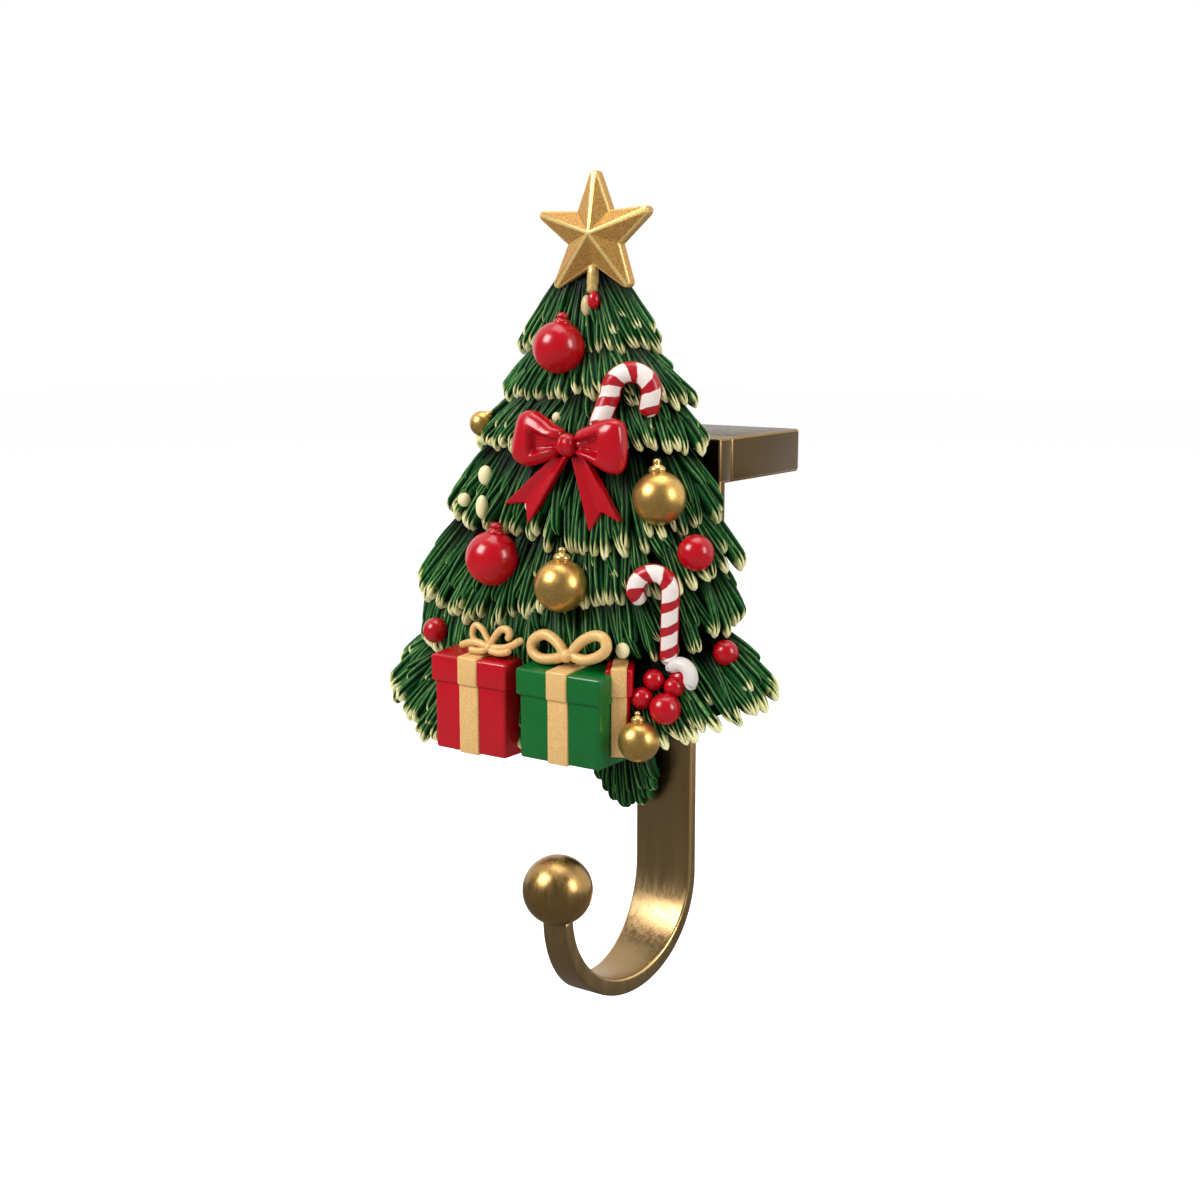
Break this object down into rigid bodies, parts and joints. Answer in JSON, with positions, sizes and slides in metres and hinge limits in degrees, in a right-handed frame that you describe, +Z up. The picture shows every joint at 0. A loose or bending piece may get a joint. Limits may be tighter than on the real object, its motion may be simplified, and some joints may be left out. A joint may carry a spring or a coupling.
{
  "type": "mantel stocking holder",
  "caption": "Brass-finish mantel bracket with a weighted block, a ball-tipped J hook for a stocking and a cast Christmas tree figure on its front.",
  "frame": {"origin": "middle of the grip pad's underside, where the holder rests on the mantel", "axes": "+X along the mantel's front edge, to the right seen from the front; +Y back over the mantel, away from the viewer; +Z up"},
  "size_m": [0.1096, 0.0865, 0.1825],
  "materials": {
    "antique_brass": "brushed antique brass, darkened in the flats and bright on the worn edges",
    "pad_rubber": "matte non-slip rubber",
    "screw_steel": "plain zinc-plated steel",
    "painted_foliage": "cast resin, hand painted dark green with cream tips under a soft varnish"
  },
  "bodies": {
    "root": {"hook_strap": "antique_brass", "mantel_block": "antique_brass", "hook_ball": "antique_brass", "grip_pad": "pad_rubber", "figure_screws": "screw_steel", "tree_figure": "painted_foliage"}
  },
  "joints": []
}
